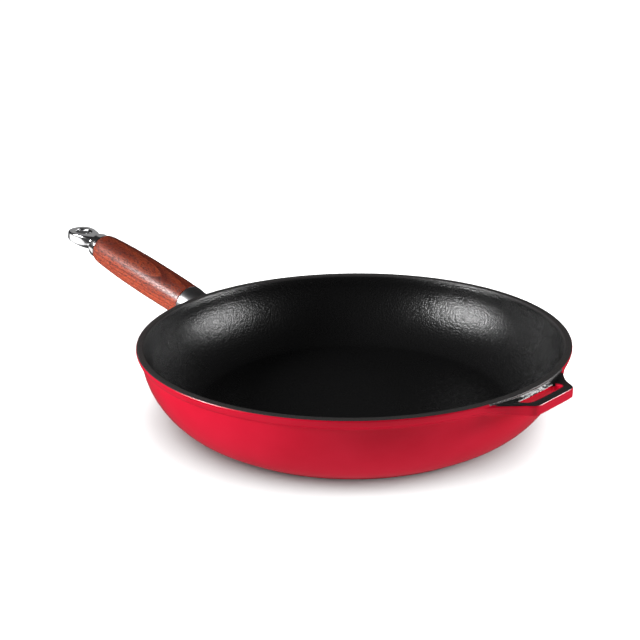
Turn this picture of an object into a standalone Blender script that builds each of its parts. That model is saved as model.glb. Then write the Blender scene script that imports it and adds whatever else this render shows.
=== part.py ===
"""Enamelled cast iron skillet with a wooden grip, a helper handle and a screw-out hanging eye.

The pan stands on the table plane, its centre is the origin and +Z is up. The helper handle is
towards +X and the long handle towards -X. All sizes are in metres.

The long handle is a stack of turned pieces on one sloping axis. Their places are stations:
distances along that axis from the machined face of the casting's boss.
"""
from math import atan2, ceil, cos, pi, radians, sin, tan

import bmesh
import bpy
from mathutils import Vector

# Fits and meshing
GAP = 0.0003                 # left between neighbours that touch
MERGE = 0.00002              # welds the ends of a turned profile
PAN_STEPS = 48               # segments of a full turn of the pan
STEM_STEPS = 28              # segments of a full turn of the handle's pieces
ARC_STEP = radians(30)       # longest step of a rounded corner

# Pan
RIM_RADIUS = 0.145           # widest circle of the rim
RIM_TOP = 0.0544             # height of the rim
RIM_WIDTH = 0.0051           # width of the rim's top
RIM_EDGE = 0.0011            # rounding of the rim's edges
LIP_BEVEL = (0.0009, 0.0032) # slope inside the rim: how far in and how far down
BAND_LOW = 0.0491            # lower edge of the thickened band
BAND_TAPER = 0.0013          # how much the band narrows downwards
BAND_STEP = 0.0018           # step from the band to the wall
FOOT_RADIUS = 0.1093
FOOT_HEIGHT = 0.0015
FLOOR_HEIGHT = 0.0058        # cooking surface above the table
FLOOR_RADIUS = 0.104         # where the floor starts to rise
OUTER_LOW_RADIUS = 0.1067    # where the outer curve would meet the foot's height
OUTER_LOW_HEIGHT = 0.0013
CURVE_R = 1.59               # the wall is a superellipse with these two exponents
CURVE_Z = 1.80
COAT = 0.0005                # thickness of the enamel
MID_WALL = 0.0018            # a surface inside the iron, measured from the pan's inside

# Helper handle, cast in one with the pan
HELPER_TOP = 0.0530
HELPER_THICK = 0.0066
HELPER_REACH = 0.1604        # its straight outer edge
HELPER_CORNER = 0.0186       # half length of that edge before rounding
HELPER_WAIST = (0.1468, 0.0283)
HELPER_ROOT = (0.1385, 0.0390)
HELPER_INNER = 0.1300
SLOT_LOW_X = 0.1460
SLOT_HIGH_X = 0.1538
SLOT_HALF = 0.0172
HELPER_EDGE = 0.0010         # chamfer of its edges

# Long handle
HANDLE_SLOPE = radians(12.4)
BOSS_FACE = (-0.1560, 0.0, 0.0342)
BOSS_RADIUS = 0.0118
BOSS_FLARE = 0.0030          # extra radius where the boss meets the wall
BOSS_FLARE_FROM = -0.0060    # station where the flare starts
BOSS_INNER = -0.0320         # station inside the pan, before it is trimmed
THREAD_DEPTH = 0.0130
ROD_RADIUS = 0.0040
ROD_INNER = -0.0110
BORE_RADIUS = ROD_RADIUS + 0.0004
WASHER = (0.0003, 0.0020)
FERRULE = (0.0023, 0.0203)
FERRULE_RADII = (0.0121, 0.0139)
TENON_LENGTH = 0.0090
TENON_RADIUS = 0.0097
GRIP = (0.0206, 0.1352)
GRIP_SWELL = 0.01465         # widest radius of the wood
GRIP_SWELL_AT = 0.052        # how far that is from its front end
GRIP_FRONT_DROP = 0.00075
GRIP_BACK_DROP = 0.0022
GRIP_BACK_POWER = 2.2
GRIP_END_ROUND = 0.0030
POCKET_RADIUS = 0.0069       # counterbore in the wood for the spring and the collar's spigot
POCKET_DEPTH = 0.0050
SPRING_THICK = 0.0008
SPRING_CONE = 0.0003
COLLAR_END = 0.1434
COLLAR_RADII = (0.0110, 0.0105)
EYE_START = COLLAR_END + GAP
EYE_LENGTH = 0.0347
EYE_RADIUS = 0.0109          # half width of the loop
EYE_NECK_RADIUS = 0.0063
EYE_NECK_LENGTH = 0.0130
EYE_SOCKET = 0.0113          # depth of the rod's hole in the neck
EYE_THICK = (0.0098, 0.0064) # at the neck and at the tip
EYE_HOLE_HALF = (0.0070, 0.0052)
EYE_EDGE = 0.0022


def clear_scene():
    for obj in list(bpy.data.objects):
        bpy.data.objects.remove(obj, do_unlink=True)


def collection(name):
    made = bpy.data.collections.new(name)
    bpy.context.scene.collection.children.link(made)
    return made


def material(name, colour, roughness, metallic):
    made = bpy.data.materials.new(name)
    made.use_nodes = True
    shader = made.node_tree.nodes["Principled BSDF"]
    shader.inputs["Base Color"].default_value = (*colour, 1.0)
    shader.inputs["Roughness"].default_value = roughness
    shader.inputs["Metallic"].default_value = metallic
    return made


# ---------------------------------------------------------------- outlines and profiles

def offset_line(points, distance):
    """Shift an open line to the right of its direction by distance, with mitred corners."""
    flat = [Vector(p) for p in points]
    moved = []
    for i, point in enumerate(flat):
        before = flat[i] - flat[i - 1] if i else flat[1] - flat[0]
        after = flat[i + 1] - flat[i] if i < len(flat) - 1 else before
        right_before = Vector((before.y, -before.x)).normalized()
        right_after = Vector((after.y, -after.x)).normalized()
        mitre = (right_before + right_after).normalized()
        moved.append(tuple(point + mitre * distance / mitre.dot(right_before)))
    return moved


def rounded(corners):
    """Points of a closed outline. Each corner is x, y and the radius that rounds it."""
    points = []
    for i, (x, y, radius) in enumerate(corners):
        corner = Vector((x, y))
        to_last = (Vector(corners[i - 1][:2]) - corner).normalized()
        to_next = (Vector(corners[(i + 1) % len(corners)][:2]) - corner).normalized()
        if radius == 0:
            points.append(tuple(corner))
            continue
        half = to_last.angle(to_next) / 2
        centre = corner + (to_last + to_next).normalized() * radius / sin(half)
        start = corner + to_last * radius / tan(half) - centre
        end = corner + to_next * radius / tan(half) - centre
        turn = atan2(start.cross(end), start.dot(end))
        count = max(2, ceil(abs(turn) / ARC_STEP))
        for k in range(count + 1):
            a = turn * k / count
            points.append((centre.x + start.x * cos(a) - start.y * sin(a),
                           centre.y + start.x * sin(a) + start.y * cos(a)))
    return points


def arc(centre, radius, start, end, count=3):
    """Points of an arc from angle start to angle end, in degrees."""
    return [(centre[0] + radius * cos(radians(start + (end - start) * k / count)),
             centre[1] + radius * sin(radians(start + (end - start) * k / count)))
            for k in range(count + 1)]


def wall_curve(high, low, count):
    """Superellipse from the high point down to the low one, both as radius and height."""
    points = []
    for k in range(count + 1):
        a = pi / 2 * k / count
        points.append((low[0] + (high[0] - low[0]) * cos(a) ** (2 / CURVE_R),
                       low[1] + (high[1] - low[1]) * (1 - sin(a) ** (2 / CURVE_Z))))
    return points


def outer_line():
    """The outside of the pan, from the top of the rim down to the foot."""
    edge = arc((RIM_RADIUS - RIM_EDGE, RIM_TOP - RIM_EDGE), RIM_EDGE, 90, 0)
    band = (RIM_RADIUS - BAND_TAPER, BAND_LOW)
    wall_top = (band[0] - BAND_STEP, BAND_LOW - BAND_STEP / 2)
    wall = [p for p in wall_curve(wall_top, (OUTER_LOW_RADIUS, OUTER_LOW_HEIGHT), 10)
            if p[0] > FOOT_RADIUS + 2 * FOOT_HEIGHT]
    foot_top = (FOOT_RADIUS, FOOT_HEIGHT)
    return edge + [band] + wall + [foot_top, (FOOT_RADIUS, 0)]


def inner_line():
    """The inside of the pan, from the middle of the floor up to the top of the rim."""
    lip = RIM_RADIUS - RIM_WIDTH
    edge = arc((lip + RIM_EDGE, RIM_TOP - RIM_EDGE), RIM_EDGE, 180, 90)
    wall_top = (lip - LIP_BEVEL[0], RIM_TOP - RIM_EDGE - LIP_BEVEL[1])
    wall = wall_curve(wall_top, (FLOOR_RADIUS, FLOOR_HEIGHT), 8)[::-1]
    return [(0, FLOOR_HEIGHT)] + wall + edge


def helper_outline(grow):
    """The helper handle seen from above, grown outwards by a distance."""
    reach = HELPER_REACH + grow
    corner = HELPER_CORNER + grow / 2
    waist = (HELPER_WAIST[0] + grow / 2, HELPER_WAIST[1] + grow)
    root = (HELPER_ROOT[0], HELPER_ROOT[1] + grow)
    half = [(reach, corner, 0.0045), (*waist, 0.0080), (*root, 0), (HELPER_INNER, root[1], 0)]
    return rounded(half + [(x, -y, r) for x, y, r in reversed(half)])


def slot_outline(grow):
    """The finger slot of the helper handle, grown by a distance."""
    low, high, half = SLOT_LOW_X - grow, SLOT_HIGH_X + grow, SLOT_HALF + grow
    return rounded([(high, half, 0.0036), (low, half, 0.0036),
                    (low, -half, 0.0036), (high, -half, 0.0036)])


def grip_radius(distance):
    """Radius of the wood at a distance from its front end."""
    if distance < GRIP_SWELL_AT:
        return GRIP_SWELL - GRIP_FRONT_DROP * (1 - distance / GRIP_SWELL_AT) ** 2
    along = (distance - GRIP_SWELL_AT) / (GRIP[1] - GRIP[0] - GRIP_SWELL_AT)
    return GRIP_SWELL - GRIP_BACK_DROP * along ** GRIP_BACK_POWER


# ---------------------------------------------------------------- makers of shapes

def turned(name, profile, steps, ring=False):
    """Turn a profile of radius and height about local Z. A ring's profile is a closed loop."""
    mesh = bpy.data.meshes.new(name)
    count = len(profile)
    edges = [(i, (i + 1) % count) for i in range(count if ring else count - 1)]
    mesh.from_pydata([(r, 0, z) for r, z in profile], edges, [])
    obj = bpy.data.objects.new(name, mesh)
    screw = obj.modifiers.new("turn", "SCREW")
    screw.steps = steps
    screw.render_steps = steps
    screw.use_merge_vertices = True
    screw.merge_threshold = MERGE
    screw.use_smooth_shade = False
    return obj


def plate(name, outlines, low, high):
    """Extrude flat outlines between two heights. Outlines after the first are holes."""
    curve = bpy.data.curves.new(name, "CURVE")
    curve.dimensions = "2D"
    curve.fill_mode = "BOTH"
    curve.extrude = (high - low) / 2
    for outline in outlines:
        spline = curve.splines.new("POLY")
        spline.points.add(len(outline) - 1)
        for point, (x, y) in zip(spline.points, outline):
            point.co = (x, y, 0, 1)
        spline.use_cyclic_u = True
    sketch = bpy.data.objects.new(name + "_sketch", curve)
    bpy.context.scene.collection.objects.link(sketch)
    view = bpy.context.evaluated_depsgraph_get()
    mesh = bpy.data.meshes.new_from_object(sketch.evaluated_get(view))
    bpy.data.objects.remove(sketch, do_unlink=True)
    work = bmesh.new()
    work.from_mesh(mesh)
    bmesh.ops.remove_doubles(work, verts=work.verts, dist=MERGE)
    bmesh.ops.translate(work, verts=work.verts, vec=(0, 0, (low + high) / 2))
    bmesh.ops.recalc_face_normals(work, faces=work.faces)
    work.to_mesh(mesh)
    work.free()
    return bpy.data.objects.new(name, mesh)


def chamfer(obj, width, segments=1):
    bevel = obj.modifiers.new("edges", "BEVEL")
    bevel.width = width
    bevel.segments = segments
    bevel.limit_method = "ANGLE"
    bevel.angle_limit = radians(50)
    return obj


def boolean(obj, other, operation):
    step = obj.modifiers.new(other.name, "BOOLEAN")
    step.operation = operation
    step.object = other
    step.solver = "EXACT"


class Workshop:
    """Puts finished pieces and their tools where they belong."""

    def __init__(self):
        self.parts = collection("cast_iron_skillet")
        self.tools = collection("tools")
        self.handle = bpy.data.objects.new("handle_axis", None)
        self.handle.location = BOSS_FACE
        self.handle.rotation_euler = (0, HANDLE_SLOPE - pi / 2, 0)
        self.parts.objects.link(self.handle)

    def tool(self, obj, on_handle=False):
        self.tools.objects.link(obj)
        obj.hide_render = True
        obj.display_type = "WIRE"
        if on_handle:
            obj.parent = self.handle
        return obj

    def part(self, obj, finish, on_handle=False):
        self.parts.objects.link(obj)
        obj.data.materials.append(finish)
        if on_handle:
            obj.parent = self.handle
        return obj


# ---------------------------------------------------------------- the casting and its coats

def inside_of_wall(name, lowered=0.0, over_rim=False):
    """A plug that fills the pan up to the middle of its wall, used to trim what crosses it."""
    line = offset_line(inner_line(), MID_WALL)
    line = [(r, z - lowered) for r, z in line if z < BAND_LOW]
    high = RIM_TOP + 0.02
    if over_rim:
        line += [(RIM_RADIUS - 0.003, RIM_TOP - 0.0024 - lowered),
                 (RIM_RADIUS + 0.003, RIM_TOP + 0.0012 - lowered),
                 (RIM_RADIUS + 0.003, high)]
    else:
        line += [(line[-1][0], high)]
    return turned(name, [(0, high)] + line[::-1], PAN_STEPS)


def pan_shape(shop, name, inset, base, boss_end):
    """The pan with its helper handle and boss, every outer face set in by a distance."""
    outer = offset_line(outer_line(), inset)
    outer[-1] = (outer[-1][0], base)
    inner = offset_line(inner_line(), inset)
    pan = turned(name, inner + outer + [(0, base)], PAN_STEPS)

    plug = shop.tool(inside_of_wall(name + "_plug"))
    helper = plate(name + "_helper", [helper_outline(-inset), slot_outline(inset)],
                   HELPER_TOP - HELPER_THICK + inset, HELPER_TOP - inset)
    chamfer(helper, HELPER_EDGE - inset * (2 - 2 ** 0.5))
    boolean(helper, plug, "DIFFERENCE")
    boolean(pan, shop.tool(helper), "UNION")

    boss_line = [(0, boss_end), (BOSS_RADIUS - inset, boss_end)]
    for along in (0, 0.25, 0.5, 0.75, 1):
        boss_line.append((BOSS_RADIUS - inset + BOSS_FLARE * along ** 2,
                          BOSS_FLARE_FROM + (BOSS_INNER - BOSS_FLARE_FROM) * along))
    boss_line.append((0, BOSS_INNER))
    boss = turned(name + "_boss", boss_line, STEM_STEPS)
    boolean(boss, plug, "DIFFERENCE")
    boolean(pan, shop.tool(boss, on_handle=True), "UNION")
    return pan


def make_casting(shop, finish):
    pan = pan_shape(shop, "pan_casting", COAT + GAP, 0.0, 0.0)
    hole = turned("boss_thread_hole", [(0, 0.002), (BORE_RADIUS, 0.002),
                                       (BORE_RADIUS, -THREAD_DEPTH), (0, -THREAD_DEPTH - 0.002)],
                  STEM_STEPS)
    boolean(pan, shop.tool(hole, on_handle=True), "DIFFERENCE")
    return shop.part(pan, finish)


def coat_region(shop, name, grow):
    """Where the black coat lies: inside the pan, over its rim and on top of the helper."""
    region = inside_of_wall(name, lowered=grow, over_rim=True)
    top = plate(name + "_helper_top", [helper_outline(0.002 + grow)],
                HELPER_TOP - COAT + GAP / 2 - grow, HELPER_TOP + 0.01)
    boolean(region, shop.tool(top), "UNION")
    return shop.tool(region)


def make_coat(shop, name, finish, black):
    skin_base = 0.0004
    coat = pan_shape(shop, name, 0.0, skin_base, 0.0)
    core = shop.tool(pan_shape(shop, name + "_core", COAT, -0.002, 0.003))
    boolean(coat, core, "DIFFERENCE")
    region = coat_region(shop, name + "_region", 0.0 if black else GAP)
    boolean(coat, region, "INTERSECT" if black else "DIFFERENCE")
    return shop.part(coat, finish)


# ---------------------------------------------------------------- the handle's stack

def stack_ring(name, low, high, outer, inner):
    """A plain ring between two stations, with its outer edges broken."""
    edge = 0.0003
    return turned(name, [(inner, high), (outer - edge, high), (outer, high - edge),
                         (outer, low + edge), (outer - edge, low), (inner, low)],
                  STEM_STEPS, ring=True)


def make_heat_washer(shop, finish):
    low, high = WASHER
    ring = stack_ring("heat_washer", low, high, BOSS_RADIUS, BORE_RADIUS)
    return shop.part(ring, finish, on_handle=True)


def make_ferrule(shop, finish):
    low, high = FERRULE
    small, large = FERRULE_RADII
    socket = TENON_RADIUS + GAP
    floor = high - TENON_LENGTH
    edge = 0.0005
    line = [(BORE_RADIUS, floor), (socket, floor), (socket, high), (large - edge, high),
            (large, high - edge), (small, low + edge), (small - edge, low), (BORE_RADIUS, low)]
    return shop.part(turned("handle_ferrule", line, STEM_STEPS, ring=True), finish, on_handle=True)


def make_grip(shop, finish):
    front, back = GRIP
    length = back - front
    pocket = back - POCKET_DEPTH
    tenon_end = front - TENON_LENGTH + GAP
    face = grip_radius(length) - GRIP_END_ROUND
    line = [(BORE_RADIUS, pocket), (POCKET_RADIUS, pocket), (POCKET_RADIUS, back)]
    line += arc((face, back - GRIP_END_ROUND), GRIP_END_ROUND, 90, 10)
    stations = [length - GRIP_END_ROUND - length * k / 12 for k in range(1, 12)]
    line += [(grip_radius(s), front + s) for s in stations]
    line += [(grip_radius(0), front + 0.0008), (grip_radius(0) - 0.0008, front),
             (TENON_RADIUS, front), (TENON_RADIUS, tenon_end), (BORE_RADIUS, tenon_end)]
    return shop.part(turned("wooden_grip", line, STEM_STEPS, ring=True), finish, on_handle=True)


def make_disc_spring(shop, finish):
    low = GRIP[1] - POCKET_DEPTH + GAP
    inner = BORE_RADIUS + 0.0002
    outer = POCKET_RADIUS - GAP
    line = [(inner, low + SPRING_CONE + SPRING_THICK), (outer, low + SPRING_THICK),
            (outer, low), (inner, low + SPRING_CONE)]
    return shop.part(turned("disc_spring", line, STEM_STEPS, ring=True), finish, on_handle=True)


def make_collar(shop, finish):
    low = GRIP[1] + GAP
    spigot_end = GRIP[1] - POCKET_DEPTH + SPRING_THICK + SPRING_CONE + 2 * GAP
    spigot = POCKET_RADIUS - GAP
    wide, narrow = COLLAR_RADII
    edge = 0.0007
    line = [(BORE_RADIUS, COLLAR_END), (narrow - edge, COLLAR_END), (narrow, COLLAR_END - edge),
            (wide, low + edge), (wide - edge, low), (spigot, low), (spigot, spigot_end),
            (BORE_RADIUS, spigot_end)]
    return shop.part(turned("end_collar", line, STEM_STEPS, ring=True), finish, on_handle=True)


def make_rod(shop, finish):
    end = EYE_START + EYE_SOCKET - GAP
    edge = 0.0006
    line = [(0, end), (ROD_RADIUS - edge, end), (ROD_RADIUS, end - edge),
            (ROD_RADIUS, ROD_INNER + edge), (ROD_RADIUS - edge, ROD_INNER), (0, ROD_INNER)]
    return shop.part(turned("tension_rod", line, STEM_STEPS), finish, on_handle=True)


def make_eye(shop, finish):
    """A loop with an oval hole, thick at its neck and thinner at its tip, on a round neck."""
    centre = EYE_LENGTH - EYE_RADIUS
    neck_at = 0.006
    waist = EYE_NECK_RADIUS - 0.0005
    loop = arc((centre, 0), EYE_RADIUS, -115, 115, 18)
    outline = loop + [(neck_at + 0.004, waist + 0.0012), (neck_at, waist),
                      (neck_at, -waist), (neck_at + 0.004, -waist - 0.0012)]
    half_long, half_wide = EYE_HOLE_HALF
    hole_at = EYE_LENGTH - 0.0052 - half_long
    hole = [(hole_at + half_long * cos(2 * pi * k / 20), half_wide * sin(2 * pi * k / 20))
            for k in range(20)]
    thick, thin = EYE_THICK
    eye = plate("hanging_eye", [outline, hole], -0.5, 0.5)
    for vertex in eye.data.vertices:
        along = vertex.co.x / EYE_LENGTH
        vertex.co.z *= thick + (thin - thick) * along
    chamfer(eye, EYE_EDGE, segments=2)
    eye.rotation_euler = (0, -pi / 2, 0)
    eye.location = (0, 0, EYE_START)

    radius = EYE_NECK_RADIUS
    end = EYE_START + EYE_NECK_LENGTH
    neck = turned("eye_neck", [(0, end), (radius * 0.5, end - 0.0004), (radius * 0.75, end - 0.002),
                               (radius * 0.82, end - 0.004), (radius, EYE_START + 0.003),
                               (radius, EYE_START), (0, EYE_START)], STEM_STEPS)
    socket = turned("eye_socket", [(0, EYE_START + EYE_SOCKET),
                                   (BORE_RADIUS, EYE_START + EYE_SOCKET),
                                   (BORE_RADIUS, EYE_START - 0.002), (0, EYE_START - 0.002)],
                    STEM_STEPS)
    boolean(eye, shop.tool(neck, on_handle=True), "UNION")
    boolean(eye, shop.tool(socket, on_handle=True), "DIFFERENCE")
    return shop.part(eye, finish, on_handle=True)


def main():
    clear_scene()
    shop = Workshop()
    iron = material("cast_iron", (0.045, 0.045, 0.047), 0.60, 0.9)
    red = material("red_enamel", (0.62, 0.009, 0.035), 0.22, 0.0)
    black = material("black_enamel", (0.010, 0.010, 0.011), 0.42, 0.0)
    fibre = material("heat_fibre", (0.10, 0.085, 0.07), 0.85, 0.0)
    ferrule_steel = material("ferrule_steel", (0.45, 0.45, 0.46), 0.30, 1.0)
    wood = material("oiled_hardwood", (0.30, 0.075, 0.035), 0.38, 0.0)
    spring_steel = material("spring_steel", (0.30, 0.30, 0.32), 0.35, 1.0)
    rod_steel = material("zinc_plated_steel", (0.52, 0.53, 0.55), 0.35, 1.0)
    chrome = material("polished_steel", (0.72, 0.72, 0.73), 0.12, 1.0)

    make_casting(shop, iron)
    make_coat(shop, "outer_enamel", red, black=False)
    make_coat(shop, "inner_enamel", black, black=True)
    make_heat_washer(shop, fibre)
    make_ferrule(shop, ferrule_steel)
    make_grip(shop, wood)
    make_disc_spring(shop, spring_steel)
    make_collar(shop, chrome)
    make_rod(shop, rod_steel)
    make_eye(shop, chrome)


main()
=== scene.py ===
# %% [markdown]
# # An enamelled cast iron skillet
# The real pan is one iron casting, glazed red outside and black inside, with a long handle
# that is a stack of pieces on one steel rod: fibre washer, steel ferrule, turned wood, disc
# spring, collar and a hanging eye that screws the stack together. The CAD model gives every
# piece its place and size. This lesson remodels each piece finely around it and gives it a
# finish made only of shader nodes. Lengths are metres, +Z is up, the helper handle is
# towards +X and the long handle towards -X.

# %% Load the frame
from math import atan2, cos, degrees, hypot, pi, radians, sin

import bpy
from mathutils import Matrix, Vector


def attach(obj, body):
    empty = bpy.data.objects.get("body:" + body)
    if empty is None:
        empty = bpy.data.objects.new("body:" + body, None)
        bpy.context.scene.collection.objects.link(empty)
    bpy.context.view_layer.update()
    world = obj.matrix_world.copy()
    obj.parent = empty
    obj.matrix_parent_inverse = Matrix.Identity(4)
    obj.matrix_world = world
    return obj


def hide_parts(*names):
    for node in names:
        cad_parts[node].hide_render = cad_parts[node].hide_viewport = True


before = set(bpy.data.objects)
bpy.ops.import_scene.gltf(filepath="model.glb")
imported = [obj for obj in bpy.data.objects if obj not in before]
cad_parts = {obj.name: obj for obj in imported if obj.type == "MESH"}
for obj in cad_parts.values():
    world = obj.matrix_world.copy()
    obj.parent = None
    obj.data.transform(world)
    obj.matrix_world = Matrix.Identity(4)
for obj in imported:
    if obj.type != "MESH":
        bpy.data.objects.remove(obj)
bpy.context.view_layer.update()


# %% [markdown]
# ## Working by hand, in code
# An operator acts on whatever is selected, just as it does under the mouse. So every step
# here clears the selection first and then picks faces, edges or points by where they are.
# The first helpers do that picking. Selection flags are written in object mode, because the
# edit mesh only reads them when edit mode starts.

# %% Picking helpers
def deselect_everything():
    if bpy.context.mode != "OBJECT":
        bpy.ops.object.mode_set(mode="OBJECT")
    bpy.ops.object.select_all(action="DESELECT")


def select_only(obj):
    """Leave one object selected and active, as a click on it does."""
    deselect_everything()
    obj.select_set(True)
    bpy.context.view_layer.objects.active = obj


def name_new(name):
    """Name the object that an operator just added, with its place moved into its mesh."""
    obj = bpy.context.object
    obj.name = obj.data.name = name
    bpy.ops.object.transform_apply(location=True, rotation=True, scale=True)
    return obj


def clear_flags(mesh):
    for group in (mesh.vertices, mesh.edges, mesh.polygons):
        group.foreach_set("select", [False] * len(group))


def pick(obj, kind, test):
    """Select what passes a test: a face by its middle and normal, an edge by its middle
    and its run, a vertex by its place. Returns how many passed."""
    bpy.ops.object.mode_set(mode="OBJECT")
    mesh = obj.data
    clear_flags(mesh)
    count = 0
    for element in {"FACE": mesh.polygons, "EDGE": mesh.edges, "VERT": mesh.vertices}[kind]:
        if kind == "FACE":
            chosen = test(element.center, element.normal)
        elif kind == "EDGE":
            ends = [mesh.vertices[v].co for v in element.vertices]
            chosen = test((ends[0] + ends[1]) / 2, ends[1] - ends[0])
        else:
            chosen = test(element.co)
        element.select = chosen
        count += chosen
    bpy.ops.object.mode_set(mode="EDIT")
    bpy.ops.mesh.select_mode(type=kind)
    return count


def move_picked(obj, rule):
    """Put each selected vertex where a rule of its place says, as by dragging it."""
    bpy.ops.object.mode_set(mode="OBJECT")
    for vertex in obj.data.vertices:
        if vertex.select:
            vertex.co = rule(vertex.co)
    bpy.ops.object.mode_set(mode="EDIT")


# %% [markdown]
# ## Turned shapes
# Most of this object was turned or cast round, so it is round about an axis. By hand such a
# shape starts as a circle of points that is extruded and scaled, ring after ring, along its
# profile. Spin would do it too, but it leaves a seam to weld. Each ring here is one extrude
# and one resize, and a flat end is closed by merging the last ring into its centre.

# %% The lathe
def turn(name, profile, segments, ring=False):
    """Extrude a circle along a profile of (radius, height). A ring's profile is a loop."""
    deselect_everything()
    radius, height = profile[0]
    bpy.ops.mesh.primitive_circle_add(vertices=segments, radius=radius,
                                      location=(0, 0, height))
    obj = name_new(name)
    bpy.ops.object.mode_set(mode="EDIT")
    bpy.ops.mesh.select_mode(type="VERT")
    bpy.ops.mesh.select_all(action="SELECT")
    for next_radius, next_height in profile[1:]:
        bpy.ops.mesh.extrude_region_move(
            TRANSFORM_OT_translate={"value": (0, 0, next_height - height)})
        share = next_radius / radius
        bpy.ops.transform.resize(value=(share, share, 1), center_override=(0, 0, 0))
        radius, height = next_radius, next_height
    if ring:
        bpy.ops.mesh.select_all(action="DESELECT")
        bpy.ops.mesh.select_non_manifold()
        bpy.ops.mesh.bridge_edge_loops()
    else:
        for radius, height in (profile[-1], profile[0]):
            pick(obj, "VERT", lambda co: abs(hypot(co.x, co.y) - radius) < 1e-6
                 and abs(co.z - height) < 1e-6)
            bpy.ops.mesh.extrude_region_move()
            bpy.ops.mesh.merge(type="CENTER")
    bpy.ops.mesh.select_all(action="SELECT")
    bpy.ops.mesh.normals_make_consistent(inside=False)
    bpy.ops.object.mode_set(mode="OBJECT")
    return obj


def arc(centre, radius, start, end, count):
    """Points of an arc between two angles in degrees, for the rounded edge of a profile."""
    return [(centre[0] + radius * cos(radians(start + (end - start) * k / count)),
             centre[1] + radius * sin(radians(start + (end - start) * k / count)))
            for k in range(count + 1)]


def smooth(obj, angle):
    """Shade smoothly wherever two faces meet at less than an angle in degrees."""
    select_only(obj)
    bpy.ops.object.shade_smooth_by_angle(angle=radians(angle))


def apply_modifier(obj, kind, **settings):
    """Add a modifier, set it up and apply it."""
    select_only(obj)
    step = obj.modifiers.new(kind.lower(), kind)
    for key, value in settings.items():
        setattr(step, key, value)
    bpy.ops.object.modifier_apply(modifier=step.name)


def report(obj):
    faces = sum(len(face.vertices) - 2 for face in obj.data.polygons)
    size = [round(v * 1000, 1) for v in obj.dimensions]
    print(f"{obj.name}: {faces} triangles, {size} mm")


# %% [markdown]
# ## Finishes as small sums
# A finish that varies over a surface is a little formula: a mask times a colour, one minus
# a mask, a noise plus a stripe. Writing it as nodes one by one hides the formula. So a small
# class wraps a socket and turns +, -, * and / into Math nodes, and one method adds every
# other kind of node. Numbers that are the same all over go straight onto the shader.

# %% Sockets that can be added and multiplied
class Wave:
    """A number that varies over a surface. Sums of it become Math nodes."""

    def __init__(self, finish, socket):
        self.finish, self.socket = finish, socket

    def sum_up(self, operation, *terms):
        made = self.finish.node("Math", {"operation": operation}, dict(enumerate(terms)))
        return Wave(self.finish, made.outputs[0])

    def __add__(self, other):
        return self.sum_up("ADD", self, other)

    def __sub__(self, other):
        return self.sum_up("SUBTRACT", self, other)

    def __rsub__(self, other):
        return self.sum_up("SUBTRACT", other, self)

    def __mul__(self, other):
        return self.sum_up("MULTIPLY", self, other)

    def __truediv__(self, other):
        return self.sum_up("DIVIDE", self, other)

    def __pow__(self, other):
        return self.sum_up("POWER", self, other)

    __radd__ = __add__
    __rmul__ = __mul__

    def step(self, low, high):
        """0 below low, 1 above high and a soft ramp between; high may be the smaller."""
        if low > high:
            return 1 - self.step(high, low)
        made = self.finish.node("MapRange", {"interpolation_type": "SMOOTHSTEP"},
                                {"Value": self, "From Min": low, "From Max": high})
        return Wave(self.finish, made.outputs["Result"])


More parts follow.
